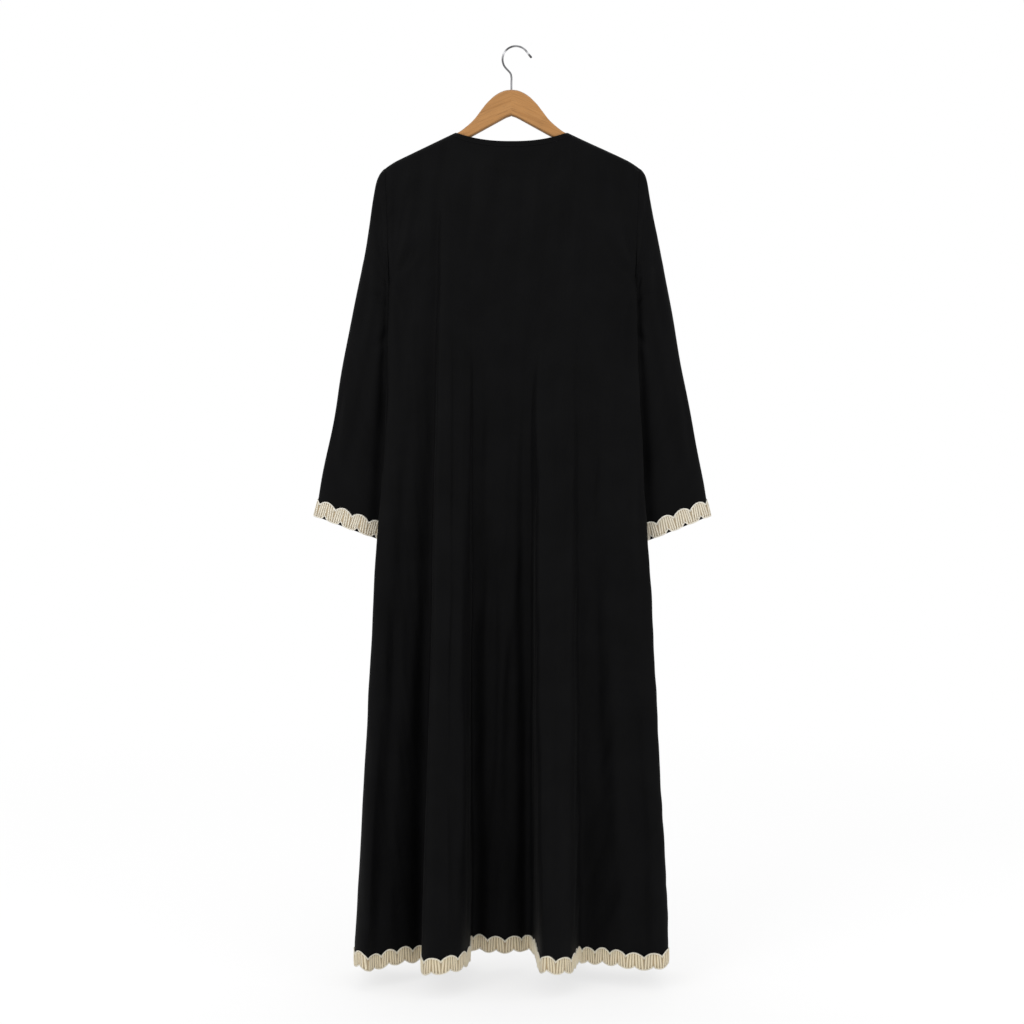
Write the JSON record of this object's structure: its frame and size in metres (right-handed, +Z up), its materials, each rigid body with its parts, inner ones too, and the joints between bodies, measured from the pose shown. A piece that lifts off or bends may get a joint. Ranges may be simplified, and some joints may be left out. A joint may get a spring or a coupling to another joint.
{
  "type": "abaya cloak on a wooden hanger",
  "caption": "Long black open-front cloak with flared sleeves and scalloped cream braid at cuffs and hem, hung by its shoulders on a wooden hanger with a wire hook.",
  "frame": {"origin": "the point of the hook's inner side, straight above the garment's middle, where a rail carries the weight", "axes": "+Z up; +X to the right when the garment's back is looked at; the back faces -Y and the open front faces +Y"},
  "size_m": [0.6746, 0.2342, 1.5466],
  "materials": {
    "black_cloth": "matt woven crepe",
    "cream_braid": "corded gimp with a soft sheen",
    "honey_wood": "satin lacquer",
    "steel_wire": "polished wire"
  },
  "bodies": {
    "root": {"back": "black_cloth", "front_left": "black_cloth", "front_right": "black_cloth", "neck_binding_back": "black_cloth", "neck_binding_front_left": "black_cloth", "neck_binding_front_right": "black_cloth", "sleeve_left": "black_cloth", "sleeve_right": "black_cloth", "cuff_trim_left": "cream_braid", "cuff_trim_right": "cream_braid", "hem_trim": "cream_braid", "hanger": "honey_wood", "hanger_hook": "steel_wire"}
  },
  "joints": []
}
